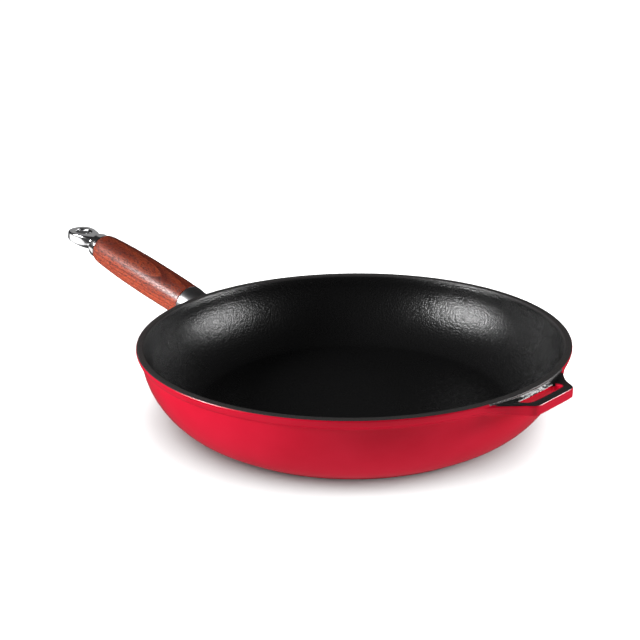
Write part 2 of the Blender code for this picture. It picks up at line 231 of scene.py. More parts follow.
class Finish:
    """A material in the making, with the sockets and nodes that a formula needs."""

    def __init__(self, name, **settings):
        self.material = bpy.data.materials.new(name)
        self.material.use_nodes = True
        self.tree = self.material.node_tree
        self.shader = self.tree.nodes["Principled BSDF"]
        for key, value in settings.items():
            socket = self.shader.inputs[key.replace("_", " ")]
            socket.default_value = (*value, 1) if isinstance(value, tuple) else value

    def node(self, kind, settings=(), sockets=()):
        """Add a node: its settings first, then a value or a link for each named socket."""
        made = self.tree.nodes.new("ShaderNode" + kind)
        for key, value in dict(settings).items():
            if key == "stops":
                ramp = made.color_ramp
                while len(ramp.elements) < len(value):
                    ramp.elements.new(0.5)
                for element, (place, colour) in zip(ramp.elements, value):
                    element.position, element.color = place, (*colour, 1)
            else:
                setattr(made, key, value)
        for key, value in dict(sockets).items():
            self.feed(made.inputs[key], value)
        return made

    def feed(self, socket, value):
        if isinstance(value, Wave):
            value = value.socket
        if isinstance(value, bpy.types.NodeSocket):
            self.tree.links.new(value, socket)
        elif isinstance(value, tuple) and len(socket.default_value) == 4:
            socket.default_value = (*value, 1)
        else:
            socket.default_value = value

    def place(self):
        """The point on the object, in metres."""
        return self.node("TexCoord").outputs["Object"]

    def along_handle(self):
        """The same point seen from the handle: Z runs along its axis, Y across, X up."""
        return self.node("Mapping", {"vector_type": "TEXTURE"},
                         {"Vector": self.place(), "Location": BOSS_FACE,
                          "Rotation": (0, HANDLE_SLOPE - pi / 2, 0)}).outputs[0]

    def stretched(self, vector, scale):
        return self.node("Mapping", {}, {"Vector": vector, "Scale": scale}).outputs[0]

    def axes(self, vector):
        split = self.node("SeparateXYZ", {}, {0: vector})
        return [Wave(self, split.outputs[k]) for k in range(3)]

    def noise(self, vector, scale, detail=2.0, roughness=0.5):
        made = self.node("TexNoise", {}, {"Vector": vector, "Scale": scale,
                                          "Detail": detail, "Roughness": roughness})
        return Wave(self, made.outputs["Fac"])

    def cells(self, vector, scale):
        made = self.node("TexVoronoi", {}, {"Vector": vector, "Scale": scale})
        return Wave(self, made.outputs["Distance"])

    def colours(self, share, *stops):
        """A colour read off a ramp of (place, colour) stops."""
        made = self.node("ValToRGB", {"stops": stops}, {"Fac": share})
        return made.outputs["Color"]

    def blend(self, share, first, second):
        """Mix two colours by a share. A Mix node keeps its colour sockets at 6 and 7."""
        made = self.node("Mix", {"data_type": "RGBA"}, {0: share, 6: first, 7: second})
        return made.outputs[2]

    def bumps(self, *layers):
        """Relief: each layer is a height from 0 to 1 and how many metres that stands for."""
        normal = None
        for height, depth in layers:
            made = self.node("Bump", {}, {"Height": height, "Distance": depth,
                                          "Strength": 1.0})
            if normal:
                self.feed(made.inputs["Normal"], normal)
            normal = made.outputs["Normal"]
        self.feed(self.shader.inputs["Normal"], normal)

    def set(self, **waves):
        """Feed sockets of the shader with what varies over the surface."""
        for key, value in waves.items():
            self.feed(self.shader.inputs[key.replace("_", " ")], value)


def finish_piece(obj, finish, body, slot, *nodes):
    """Give a piece its finish, tell the frame what it rides on and hide the CAD parts it stands for.
    """
    obj.data.materials.clear()
    obj.data.materials.append(finish.material)
    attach(obj, body)
    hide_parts(*nodes)
    report(obj)


# %% [markdown]
# ## The camera
# It looks down a little at the pan from the front right, through a lens a bit longer than
# normal. It leans by about one degree.

# %% Set up the camera
AIM = Vector((-0.01564, -0.01547, 0.0640))
AZIMUTH, ELEVATION, LEAN = radians(44.7), radians(18.73), radians(-1.04)
DISTANCE = 0.725
towards = Vector((sin(AZIMUTH) * cos(ELEVATION), -cos(AZIMUTH) * cos(ELEVATION),
                  sin(ELEVATION)))
lens = bpy.data.cameras.new("camera")
lens.lens, lens.sensor_width = 60.6, 36
lens.clip_start, lens.clip_end = 0.01, 200
camera = bpy.data.objects.new("camera", lens)
bpy.context.scene.collection.objects.link(camera)
camera.matrix_world = (Matrix.Translation(AIM + DISTANCE * towards)
                       @ towards.to_track_quat("Z", "Y").to_matrix().to_4x4()
                       @ Matrix.Rotation(LEAN, 4, "Z"))
bpy.context.scene.camera = camera
print("camera at", [round(v, 3) for v in camera.location])


# %% [markdown]
# ## The pan's profile
# The rim is a band 5 mm wide with softly rounded edges, thickened outside by a small step
# and sloped inside. Below it the wall curves in to a low foot. The wall is a superellipse,
# which swells more than an arc does, so it reads as a cast bowl. The profile runs from the
# middle of the cooking floor, up the inside, over the rim and down the outside to the
# underside. One ring lies at each height where the helper handle will be drawn out.

# %% Write the profile
RIM_RADIUS, RIM_TOP, RIM_WIDTH, RIM_EDGE = 0.1450, 0.0544, 0.0051, 0.0011
LIP_IN, LIP_DOWN = 0.0009, 0.0032                    # the slope inside the rim
BAND_LOW, BAND_TAPER, BAND_STEP = 0.0491, 0.0013, 0.0018
FOOT_RADIUS, FOOT_HEIGHT, FOOT_EDGE = 0.1093, 0.0015, 0.0004
FLOOR_RADIUS, FLOOR_HEIGHT = 0.1040, 0.0058
WALL_START = (0.1067, 0.0013)                        # where the outer wall leaves the foot
SWELL_OUT, SWELL_UP = 1.59, 1.80                     # the superellipse's exponents
HELPER_TOP, HELPER_SHOULDER, HELPER_UNDER = 0.0530, 0.0518, 0.0464


def superellipse(high, low, count):
    """The wall between two points of radius and height, from the high one down."""
    points = []
    for k in range(count + 1):
        a = pi / 2 * k / count
        points.append((low[0] + (high[0] - low[0]) * max(cos(a), 0) ** (2 / SWELL_OUT),
                       low[1] + (high[1] - low[1]) * (1 - sin(a) ** (2 / SWELL_UP))))
    return points


lip = RIM_RADIUS - RIM_WIDTH
inside_wall = superellipse((lip - LIP_IN, RIM_TOP - RIM_EDGE - LIP_DOWN),
                           (FLOOR_RADIUS, FLOOR_HEIGHT), 14)[::-1]
outside_wall = superellipse((RIM_RADIUS - BAND_TAPER - BAND_STEP, BAND_LOW - BAND_STEP / 2),
                            WALL_START, 18)
outside_wall = [p for p in outside_wall if p[0] > FOOT_RADIUS + 0.0012]
helper_root = max(p for p in outside_wall if p[1] < HELPER_UNDER + 0.0008)
outside_wall = [(r, HELPER_UNDER) if (r, z) == helper_root else (r, z)
                for r, z in outside_wall]
pan_profile = [(0.030, FLOOR_HEIGHT), (0.070, FLOOR_HEIGHT), (0.096, FLOOR_HEIGHT)]
pan_profile += inside_wall
pan_profile += arc((lip + RIM_EDGE, RIM_TOP - RIM_EDGE), RIM_EDGE, 180, 90, 4)
pan_profile += [(RIM_RADIUS - RIM_WIDTH / 2, RIM_TOP)]
pan_profile += arc((RIM_RADIUS - RIM_EDGE, RIM_TOP - RIM_EDGE), RIM_EDGE, 90, 0, 4)
pan_profile += [(RIM_RADIUS, HELPER_TOP), (RIM_RADIUS - 0.0003, HELPER_SHOULDER),
                (RIM_RADIUS - BAND_TAPER + 0.0002, BAND_LOW + 0.0006),
                (RIM_RADIUS - BAND_TAPER - 0.0003, BAND_LOW - 0.0001)]
pan_profile += outside_wall
pan_profile += [(FOOT_RADIUS + 0.0003, FOOT_HEIGHT + 0.0001),
                (FOOT_RADIUS, FOOT_HEIGHT - FOOT_EDGE), (FOOT_RADIUS, FOOT_EDGE),
                (FOOT_RADIUS - FOOT_EDGE, 0.0), (0.1040, 0.0), (0.070, 0.0), (0.030, 0.0)]
print(len(pan_profile), "points in the pan's profile")


# %% [markdown]
# ## The pan's skin, as one cage
# The handles grow out of the pan with soft fillets, which is how a casting leaves its
# mould. Booleans would leave hard creases there, so the pan is one coarse cage of quads and
# a subdivision surface rounds it. A subdivided ring of points lies a little inside them, so
# every ring starts larger by 3 / (2 + cos(step)), and the finished rim has its true radius.

# %% Turn the cage
PAN_STEPS = 72
STEP = 360 / PAN_STEPS
TRUE_RING = 3 / (2 + cos(radians(STEP)))
cage = turn("skin", [(r * TRUE_RING, z) for r, z in pan_profile], PAN_STEPS)
report(cage)


# %% [markdown]
# ## The helper handle
# Opposite the long handle is a flat loop for the second hand. It is drawn out of the rim's
# band: the band's faces within 15 degrees of +X are extruded three times, to the slot's
# inner edge, to its outer edge and to the loop's straight outer edge. Each time the new
# points are dragged to their places, column by column from the middle outwards. Between the
# rim and the slot the top sinks by two millimetres, to a sloping land that catches the
# light. Then the slot's faces above and below are deleted and the two holes are bridged.

# %% Draw out the loop
HELPER_COLUMNS = 3
HELPER_ROWS = (
    ((0.1466, 0.0000), (0.1466, 0.0090), (0.1463, 0.0182), (0.1488, 0.0272)),
    ((0.1540, 0.0000), (0.1540, 0.0085), (0.1538, 0.0172), (0.1548, 0.0228)),
    ((0.1602, 0.0000), (0.1602, 0.0080), (0.1602, 0.0150), (0.1598, 0.0199)))
LAND_DROP = (0.0021, 0.0021, 0.0017, 0.0007)
MID_BAND = 0.0499
helper_half = radians(STEP * HELPER_COLUMNS)


def to_row(row, drop, was, across):
    """Move points to a row of the loop. Their columns stood at across and had sunk by was;
    now the top points sink by drop, and the shoulder's stay clear below them."""
    def rule(co):
        column = min(range(len(row)), key=lambda k: abs(abs(co.y) - across[k]))
        x, y = row[column]
        z, top = co.z, HELPER_TOP - drop[column]
        if z > HELPER_TOP - was[column] - 0.0004:
            z = top
        elif z > MID_BAND:
            z = min(HELPER_SHOULDER, top - 0.0008)
        return Vector((x, y if co.y > 0 else -y, z))
    return rule


count = pick(cage, "FACE", lambda at, normal: HELPER_UNDER < at.z < HELPER_TOP
             and hypot(at.x, at.y) > 0.1405 and abs(atan2(at.y, at.x)) < helper_half)
print(count, "faces of the band grow into the helper handle")
across = [RIM_RADIUS * TRUE_RING * sin(radians(STEP * k)) for k in range(HELPER_COLUMNS + 1)]
was = level = (0,) * len(across)
for row, drop in zip(HELPER_ROWS, (LAND_DROP, level, level)):
    bpy.ops.mesh.extrude_region_move(TRANSFORM_OT_translate={"value": (0.001, 0, 0)})
    move_picked(cage, to_row(row, drop, was, across))
    across, was = [y for x, y in row], drop

# %% Cut the finger slot
slot_low, slot_high = HELPER_ROWS[0][0][0], HELPER_ROWS[1][0][0]
pick(cage, "FACE", lambda at, normal: abs(normal.z) > 0.9 and slot_low < at.x < slot_high
     and abs(at.y) < HELPER_ROWS[0][2][1] - 0.003 and at.z > HELPER_UNDER - 0.001)
bpy.ops.mesh.delete(type="FACE")
bpy.ops.mesh.select_mode(type="EDGE")
bpy.ops.mesh.select_all(action="DESELECT")
bpy.ops.mesh.select_non_manifold()
bpy.ops.mesh.bridge_edge_loops()
print("slot", round((slot_high - slot_low) * 1000, 1), "mm wide")


# %% [markdown]
# A subdivided corner is very round, much rounder than this loop's edges. Two extra rows
# beside an edge hold it, and a narrow bevel adds them in one step. The edges to bevel are
# the sharp ones that run level, clear of the rim. The upright edges at the slot's and the
# loop's corners are left out, so that those corners stay round.

# %% Break the loop's edges
def pick_sharp(obj, angle, test):
    """Select the level edges sharper than an angle in degrees whose middle passes a test."""
    bpy.ops.mesh.select_mode(type="EDGE")
    bpy.ops.mesh.select_all(action="DESELECT")
    bpy.ops.mesh.edges_select_sharp(sharpness=radians(angle))
    bpy.ops.object.mode_set(mode="OBJECT")
    for edge in obj.data.edges:
        ends = [obj.data.vertices[v].co for v in edge.vertices]
        upright = abs(ends[1].z - ends[0].z) > 0.0003 + (ends[1] - ends[0]).length * 0.3
        edge.select = edge.select and not upright and test((ends[0] + ends[1]) / 2)
    chosen = sum(edge.select for edge in obj.data.edges)
    bpy.ops.object.mode_set(mode="EDIT")
    return chosen


count = pick_sharp(cage, 50, lambda at: at.x > 0.13
                   and hypot(at.x, at.y) > RIM_RADIUS * TRUE_RING + 0.0005)
bpy.ops.mesh.bevel(offset=0.0008, offset_type="OFFSET", segments=2, affect="EDGES")
print(count, "edges of the loop broken")


# %% [markdown]
# ## The boss
# The long handle starts from a short round boss, cast on the wall. Twelve faces of the
# wall, two columns by six rows, are extruded, and their sixteen outer points are dragged
# onto a circle round the handle's axis, 22.5 degrees apart. From there it is plain turning:
# extrude along the axis, resize about it. The last extrusions go back in as the hole that
# takes the rod's thread.

# %% Draw out the boss
HANDLE_SLOPE = radians(12.4)
BOSS_FACE = (-0.1560, 0.0, 0.0342)
BOSS_RADIUS, BOSS_FLARE, BOSS_ROOT = 0.0118, 0.0012, -0.0095
BOSS_CROSSING = 0.0302                               # height where its axis meets the wall
axis = Vector((-cos(HANDLE_SLOPE), 0, sin(HANDLE_SLOPE)))
upward = Vector((sin(HANDLE_SLOPE), 0, cos(HANDLE_SLOPE)))
TRUE_BOSS = 3 / (2 + cos(radians(22.5)))
boss_rows = sorted((z for r, z in outside_wall), key=lambda z: abs(z - BOSS_CROSSING))[:7]
boss_rows.sort()


def station(distance):
    """A point on the handle's axis, at a distance from the boss's face."""
    return Vector(BOSS_FACE) + axis * distance


def to_boss(co):
    """Move a point of the wall, by its column and row, onto the boss's root circle."""
    side = 0 if abs(co.y) < 0.001 else (1 if co.y > 0 else -1)
    row = min(range(7), key=lambda k: abs(co.z - boss_rows[k])) - 3
    across, up = side * cos(radians(22.5 * row)), sin(radians(22.5 * row))
    if side == 0:
        across, up = 0, row / 3 if abs(row) == 3 else row * 0.25
    radius = (BOSS_RADIUS + BOSS_FLARE) * TRUE_BOSS
    return station(BOSS_ROOT) + radius * (across * Vector((0, 1, 0)) + up * upward)


count = pick(cage, "FACE", lambda at, normal: at.x < -0.120 and normal.x < -0.3
             and abs(at.y) < 0.0122 and boss_rows[0] < at.z < boss_rows[-1])
print(count, "faces of the wall grow into the boss")
bpy.ops.mesh.extrude_region_move()
move_picked(cage, to_boss)
radius, place = BOSS_RADIUS + BOSS_FLARE, BOSS_ROOT
for next_place, next_radius in ((-0.0050, 0.0119), (-0.0008, 0.0118), (-0.0001, 0.0117),
                                (0.0, 0.0111), (0.0, 0.0052), (-0.0006, 0.0046),
                                (-0.0110, 0.0044), (-0.0130, 0.0040)):
    bpy.ops.mesh.extrude_region_move(
        TRANSFORM_OT_translate={"value": axis * (next_place - place)})
    share = next_radius / radius
    bpy.ops.transform.resize(value=(share, share, share),
                             center_override=station(next_place))
    radius, place = next_radius, next_place
bpy.ops.object.mode_set(mode="OBJECT")
report(cage)


# %% [markdown]
# ## Where each enamel lies
# Black enamel covers the inside, the rim down to the middle of its outer edge, and the top
# of the helper handle with its sloping land. Red covers the rest, but the ground base, the
# machined end of the boss and its hole stay bare iron. The cage's faces get their slots now,
# because a subdivided face keeps its slot and the colour line then follows the smooth
# surface exactly.

# %% Sort the faces
def is_bare(at, normal):
    """The underside, the boss's end face and the hole behind it."""
    in_boss = (at - Vector(BOSS_FACE)).dot(axis)
    off_axis = (at - station(in_boss)).length
    return at.z < 0.0003 or (in_boss > -0.0140 and off_axis < 0.0116
                             and (in_boss > -0.00005 or off_axis < 0.0060))


def is_black(at, normal):
    out = hypot(at.x, at.y)
    radial = (normal.x * at.x + normal.y * at.y) / max(out, 1e-6)
    inside = at.z > 0.004 and radial < 0.05 and out < 0.1415
    above = normal.z > 0.70 and at.z > HELPER_TOP - 0.0007
    land = normal.z > 0.30 and at.z > 0.0506 and out > RIM_RADIUS and 0 < at.x < 0.1490
    root = (at.z > HELPER_TOP - 0.0001 and normal.z > -0.1
            and abs(atan2(at.y, at.x)) < helper_half)
    return (inside or above or land or root) and not is_bare(at, normal)


for name in ("red", "black", "bare"):
    cage.data.materials.append(bpy.data.materials.new(name))
for index, test in ((1, is_black), (2, is_bare)):
    count = pick(cage, "FACE", test)
    cage.active_material_index = index
    bpy.ops.object.material_slot_assign()
    print(count, "cage faces are", cage.data.materials[index].name)
bpy.ops.object.mode_set(mode="OBJECT")


# %% [markdown]
# ## Three pieces from one skin
# The iron is the skin set in by a little more than the enamel's thickness, bare faces
# excepted. The two enamels are the skin's red and black faces, each thickened inwards by
# half a millimetre so that it is a real layer with an edge. The iron hardly shows, so it is
# subdivided only once.

# %% Part iron, red and black
def copy_of(obj, name):
    select_only(obj)
    bpy.ops.object.duplicate()
    made = bpy.context.object
    made.name = made.data.name = name
    return made


def pick_slots(obj, slots):
    """Select the faces that have one of these material slots."""
    bpy.ops.object.mode_set(mode="OBJECT")
    clear_flags(obj.data)
    for face in obj.data.polygons:
        face.select = face.material_index in slots
    bpy.ops.object.mode_set(mode="EDIT")
    bpy.ops.mesh.select_mode(type="FACE")


ENAMEL = 0.0005
iron_body = copy_of(cage, "iron_body")
apply_modifier(iron_body, "SUBSURF", levels=1, render_levels=1)
pick_slots(iron_body, (0, 1))
bpy.ops.transform.shrink_fatten(value=-ENAMEL - 0.0001)
bpy.ops.object.mode_set(mode="OBJECT")

coats = []
for index, name in ((0, "red_coat"), (1, "black_coat")):
    coat = copy_of(cage, name)
    apply_modifier(coat, "SUBSURF", levels=2, render_levels=2)
    pick_slots(coat, {0, 1, 2} - {index})
    bpy.ops.mesh.delete(type="FACE")
    bpy.ops.object.mode_set(mode="OBJECT")
    apply_modifier(coat, "SOLIDIFY", thickness=ENAMEL, offset=-1.0)
    coats.append(coat)
red_coat, black_coat = coats
bpy.data.objects.remove(cage, do_unlink=True)
for piece in (iron_body, red_coat, black_coat):
    smooth(piece, 50)
    report(piece)


# %% [markdown]
# ## The handle's turned pieces
# Washer, ferrule, grip, spring, collar and rod are all turned. Each is drawn upright, with
# its profile measured along the handle from the boss's face, and then laid on the handle's
# sloping axis. Their edges are rounded in the profile, because a turned edge is never sharp.

# %% Lay a piece on the handle
STEM_STEPS = 96
BORE = 0.0044
GAP = 0.0003                                         # between neighbours that touch


def on_handle(obj, extra_turn=0.0, at=0.0):
    """Move a piece that was drawn upright onto the handle's axis."""
    select_only(obj)
    obj.rotation_euler = (0, HANDLE_SLOPE - pi / 2 + extra_turn, 0)
    obj.location = station(at)
    bpy.ops.object.transform_apply(location=True, rotation=True, scale=True)


def edge_round(r, z, size, start, end, count=4):
    """The rounded corner of a profile whose sharp corner would be at r and z."""
    return arc((r - size * (cos(radians(start)) + cos(radians(end))),
                z - size * (sin(radians(start)) + sin(radians(end)))), size, start, end, count)


# %% Turn the washer and the ferrule
WASHER_HIGH, WASHER_EDGE = 0.0020, 0.0003
washer = turn("fibre_washer",
              [(BORE, GAP)] + edge_round(BOSS_RADIUS, GAP, WASHER_EDGE, -90, 0)
              + edge_round(BOSS_RADIUS, WASHER_HIGH, WASHER_EDGE, 0, 90)
              + [(BORE, WASHER_HIGH)], STEM_STEPS, ring=True)
on_handle(washer)
smooth(washer, 40)

FERRULE_LOW, FERRULE_HIGH = 0.0023, 0.0203
FERRULE_SMALL, FERRULE_LARGE = 0.0121, 0.0139
TENON, SOCKET_DEPTH = 0.0097, 0.0090
ferrule_side = [(FERRULE_SMALL + (FERRULE_LARGE - FERRULE_SMALL) * (share ** 0.85),
                 FERRULE_LOW + 0.0009 + (FERRULE_HIGH - FERRULE_LOW - 0.0018) * share)
                for share in (0.12, 0.3, 0.5, 0.7, 0.88)]
ferrule = turn("steel_ferrule",
               [(BORE, FERRULE_LOW)] + edge_round(FERRULE_SMALL, FERRULE_LOW, 0.0006, -90, 0)
               + ferrule_side + edge_round(FERRULE_LARGE, FERRULE_HIGH, 0.0005, 0, 90)
               + [(TENON + GAP, FERRULE_HIGH), (TENON + GAP, FERRULE_HIGH - SOCKET_DEPTH),
                  (BORE, FERRULE_HIGH - SOCKET_DEPTH)], STEM_STEPS, ring=True)
on_handle(ferrule)
smooth(ferrule, 40)


# %% [markdown]
# ## The grip
# The wood swells gently up to a little short of its middle and narrows to a well-rounded
# end, where a round pocket takes the spring and the collar's spigot. In front a tenon sits
# in the ferrule. The swell is a smooth curve of the distance from the front end.

# %% Turn the grip
GRIP_FRONT, GRIP_BACK, TENON_LENGTH = 0.0206, 0.1352, 0.0087
GRIP_WIDEST, WIDEST_AT = 0.01465, 0.052
FRONT_DROP, BACK_DROP, BACK_RUN, BACK_POWER = 0.00075, 0.0022, 0.063, 2.2
GRIP_ROUND, GRIP_RINGS = 0.0030, 42
POCKET, POCKET_DEPTH = 0.0069, 0.0050


def grip_radius(distance):
    if distance < WIDEST_AT:
        return GRIP_WIDEST - FRONT_DROP * (1 - distance / WIDEST_AT) ** 2
    return GRIP_WIDEST - BACK_DROP * ((distance - WIDEST_AT) / BACK_RUN) ** BACK_POWER


length = GRIP_BACK - GRIP_FRONT
grip_side = [(grip_radius(length * k / GRIP_RINGS), GRIP_FRONT + length * k / GRIP_RINGS)
             for k in range(1, GRIP_RINGS - 1)]
grip = turn("turned_grip",
            [(BORE, GRIP_FRONT - TENON_LENGTH), (TENON, GRIP_FRONT - TENON_LENGTH),
             (TENON, GRIP_FRONT)]
            + edge_round(grip_radius(0), GRIP_FRONT, 0.0007, -90, 0) + grip_side
            + arc((grip_radius(length) - GRIP_ROUND, GRIP_BACK - GRIP_ROUND), GRIP_ROUND, 10, 90, 8)
            + [(POCKET + 0.0004, GRIP_BACK), (POCKET, GRIP_BACK - 0.0004),
               (POCKET, GRIP_BACK - POCKET_DEPTH), (BORE, GRIP_BACK - POCKET_DEPTH)],
            STEM_STEPS, ring=True)
on_handle(grip)
smooth(grip, 40)


# %% [markdown]
# ## Spring, collar and rod
# The disc spring is a shallow cone, the collar a short band with a spigot that centres it
# in the wood. The rod's inner end carries the thread that pulls the stack together. A true
# thread winds, so rings close together are turned first, and then every point is pushed in
# or out by a wave that moves on by one pitch per turn.

# %% Turn the spring and the collar
SPRING_THICK, SPRING_CONE = 0.0008, 0.0003
spring_low = GRIP_BACK - POCKET_DEPTH + GAP
spring = turn("disc_washer",
              [(BORE + 0.0002, spring_low + 0.0011), (BORE + 0.0002, spring_low + SPRING_CONE),
               (0.0057, spring_low + 0.00015), (0.0066, spring_low),
               (0.0066, spring_low + SPRING_THICK), (0.0057, spring_low + 0.00095)],
              STEM_STEPS, ring=True)
on_handle(spring)
smooth(spring, 40)

COLLAR_LOW, COLLAR_HIGH = GRIP_BACK + GAP, 0.1434
COLLAR_FRONT_RADIUS, COLLAR_BACK_RADIUS = 0.0110, 0.0105
SPIGOT, SPIGOT_EDGE = 0.0066, 0.0003
spigot_low = GRIP_BACK - POCKET_DEPTH + 0.0017
collar = turn("end_band",
              [(BORE, spigot_low), (0.0063, spigot_low), (SPIGOT, spigot_low + SPIGOT_EDGE),
               (SPIGOT, COLLAR_LOW)]
              + edge_round(COLLAR_FRONT_RADIUS, COLLAR_LOW, 0.0008, -90, -4, 6)
              + edge_round(COLLAR_BACK_RADIUS, COLLAR_HIGH, 0.0012, -6, 90, 6)
              + [(BORE, COLLAR_HIGH)], STEM_STEPS, ring=True)
on_handle(collar)
smooth(collar, 50)

# %% Turn the rod and wind its thread
ROD, ROD_LOW, ROD_IN_EYE, ROD_EDGE = 0.0040, -0.0110, 0.0110, 0.0006
PITCH, THREAD_TURNS, RINGS_PER_TURN, THREAD_DEPTH = 0.00125, 8, 8, 0.00055
rod_high = COLLAR_HIGH + GAP + ROD_IN_EYE
thread = [(ROD, ROD_LOW + 0.0008 + PITCH * k / RINGS_PER_TURN)
          for k in range(THREAD_TURNS * RINGS_PER_TURN + 1)]
rod = turn("steel_rod", [(0.0030, ROD_LOW)] + thread + [(ROD, 0.03), (ROD, 0.10)]
           + [(ROD, rod_high - ROD_EDGE), (ROD - ROD_EDGE, rod_high)], 32)


def wind(co):
    """Push a point in by the thread's wave, which fades out over the last turn."""
    turns = (co.z - ROD_LOW) / PITCH - atan2(co.y, co.x) / (2 * pi)
    depth = THREAD_DEPTH * (0.5 - 0.5 * cos(2 * pi * turns))
    fade = min(1, (thread[-1][1] - co.z) / PITCH)
    share = 1 - depth * max(fade, 0) / ROD
    return Vector((co.x * share, co.y * share, co.z))


pick(rod, "VERT", lambda co: thread[0][1] - 1e-6 < co.z < thread[-1][1] + 1e-6
     and hypot(co.x, co.y) > ROD - 1e-5)
move_picked(rod, wind)
on_handle(rod)
smooth(rod, 45)


# %% [markdown]
# ## The hanging eye
# A forged loop that thins and droops a little towards its tip, with an oval hole and a
# round neck. It starts as the hole's ring of twelve points. Two extrusions outwards give
# the loop's face, two downwards give its thickness, and the four side faces that look at
# the collar are drawn out into the neck, with a blind hole for the rod. A light crease
# keeps the outline's edges from melting away, and subdivision makes the rest look forged
# and polished. The eye is drawn lying along +X, so +Z is down once it is on the handle.

# %% Draw the loop
HOLE_AT, HOLE_HALF, RING_RADIUS = 0.0222, (0.0072, 0.0052), 0.006
LOOP_MIDDLE = ((0.0315, 0.0), (0.0306, 0.0046), (0.0268, 0.0078), (0.0220, 0.0086),
               (0.0165, 0.0079), (0.0128, 0.0050), (0.0118, 0.0))
LOOP_OUTSIDE = ((0.0348, 0.0), (0.0341, 0.0068), (0.0302, 0.0110), (0.0232, 0.0116),
                (0.0155, 0.0101), (0.0085, 0.0082), (0.0080, 0.0))
TRUE_HOLE = 3 / (2 + cos(radians(30)))
LOOP_DROOP, DROOP_FROM = 0.034, 0.008                # a slope, and where it starts
TIP_THICK, EXTRA_THICK = 0.0080, 0.0050


def eye_thickness(x):
    return TIP_THICK + EXTRA_THICK * (max(0.030 - x, 0) / 0.025) ** 1.3


def to_ring(ring):
    """Move a ring of twelve points, counted from the tip by their angle, to an outline."""
    def rule(co):
        angle = atan2(co.y, co.x - HOLE_AT)
        x, y = ring[round(abs(degrees(angle)) / 30)]
        return Vector((x, y if angle > 0 else -y, co.z))
    return rule


deselect_everything()
bpy.ops.mesh.primitive_circle_add(vertices=12, radius=RING_RADIUS, location=(HOLE_AT, 0, 0))
eye = name_new("forged_eye")
bpy.ops.object.mode_set(mode="EDIT")
bpy.ops.mesh.select_mode(type="VERT")
bpy.ops.mesh.select_all(action="SELECT")
bpy.ops.transform.resize(value=(*(half / RING_RADIUS * TRUE_HOLE for half in HOLE_HALF), 1),
                         center_override=(HOLE_AT, 0, 0))
for ring in (LOOP_MIDDLE, LOOP_OUTSIDE):
    bpy.ops.mesh.extrude_region_move()
    bpy.ops.transform.resize(value=(1.2, 1.2, 1), center_override=(HOLE_AT, 0, 0))
    move_picked(eye, to_ring(ring))
bpy.ops.mesh.select_all(action="SELECT")
for share in (0.5, 0.5):
    bpy.ops.mesh.extrude_region_move(TRANSFORM_OT_translate={"value": (0, 0, share)})
bpy.ops.mesh.select_all(action="SELECT")
bpy.ops.mesh.normals_make_consistent(inside=False)
move_picked(eye, lambda co: Vector((co.x, co.y, (co.z - 0.5) * eye_thickness(co.x)
                                    + LOOP_DROOP * max(co.x - DROOP_FROM, 0))))

# %% Draw out the neck
NECK_AT, NECK_RADIUS = 0.0040, 0.0065


def to_neck(co):
    """Move one of nine points, a square's corners, sides and middle, onto the neck."""
    side = 0 if abs(co.y) < 0.002 else (1 if co.y > 0 else -1)
    level = 0 if abs(co.z) < 0.001 else (1 if co.z > 0 else -1)
    reach = 1 if side * level == 0 else cos(radians(45))
    radius = NECK_RADIUS * 3 / (2 + cos(radians(45)))
    return Vector((NECK_AT, side * reach * radius, level * reach * radius))


count = pick(eye, "FACE", lambda at, normal: at.x < 0.0095 and normal.x < -0.5)
print(count, "faces of the loop grow into the neck")
bpy.ops.mesh.extrude_region_move()
move_picked(eye, to_neck)
place, radius = NECK_AT, NECK_RADIUS
for next_place, next_radius in ((0.0012, 0.0063), (0.0002, 0.0063), (0.0, 0.0061),
                                (0.0, 0.0048), (0.0006, 0.0044), (0.0100, 0.0044),
                                (0.0113, 0.0040)):
    bpy.ops.mesh.extrude_region_move(
        TRANSFORM_OT_translate={"value": (next_place - place, 0, 0)})
    share = next_radius / radius
    bpy.ops.transform.resize(value=(1, share, share), center_override=(next_place, 0, 0))
    place, radius = next_place, next_radius

# %% Crease the outline and lay the eye on the handle
outline = [((a[0] + b[0]) / 2, (a[1] + b[1]) / 2)
           for a, b in zip(LOOP_OUTSIDE, LOOP_OUTSIDE[1:5])]


def on_outline(at, run):
    off_middle = abs(at.z - LOOP_DROOP * (at.x - DROOP_FROM))
    return off_middle > 0.003 and any(hypot(at.x - x, abs(at.y) - y) < 0.0004
                                      for x, y in outline)


count = pick(eye, "EDGE", on_outline)
print(count, "edges of the outline creased")
bpy.ops.transform.edge_crease(value=0.22)
bpy.ops.object.mode_set(mode="OBJECT")
apply_modifier(eye, "SUBSURF", levels=4, render_levels=4)
on_handle(eye, extra_turn=-pi / 2, at=COLLAR_HIGH + GAP)
smooth(eye, 60)
report(eye)


# %% [markdown]
# ## Enamel
# Vitreous enamel is glass fired onto the iron: a colour under a glossy, slightly wavy skin.
# The red coat shows a faint orange peel, and painted shade darkens it at the foot, where it
# meets the floor. The black coat is a satin one whose pebbles, a little over a millimetre
# across, scatter the light into soft grainy highlights. On the rim it is greyer and a little
# duller, partly its own thin matte enamel and partly painted light on the flat rim top.

# %% Red and black enamel
red = Finish("red_enamel", Base_Color=(0.62, 0.006, 0.030), Roughness=0.2)
place = red.place()
height = red.axes(place)[2]
peel = red.noise(place, 420, 2.0)
mottle = red.noise(place, 28, 3.0)
# Painted shade: the red turns darker over the lowest 3 mm, where the foot meets the floor.
foot_shade = height.step(0.0032, 0.0006)
red.set(Base_Color=red.blend(foot_shade * 0.6, red.colours(mottle, (0.3, (0.66, 0.0022, 0.026)),
                                                        (0.7, (0.74, 0.0034, 0.033))),
                             (0.25, 0.001, 0.008)),
        Roughness=0.17 + 0.08 * mottle)
red.bumps((peel, 0.00004), (red.noise(place, 90, 1.0), 0.00010))

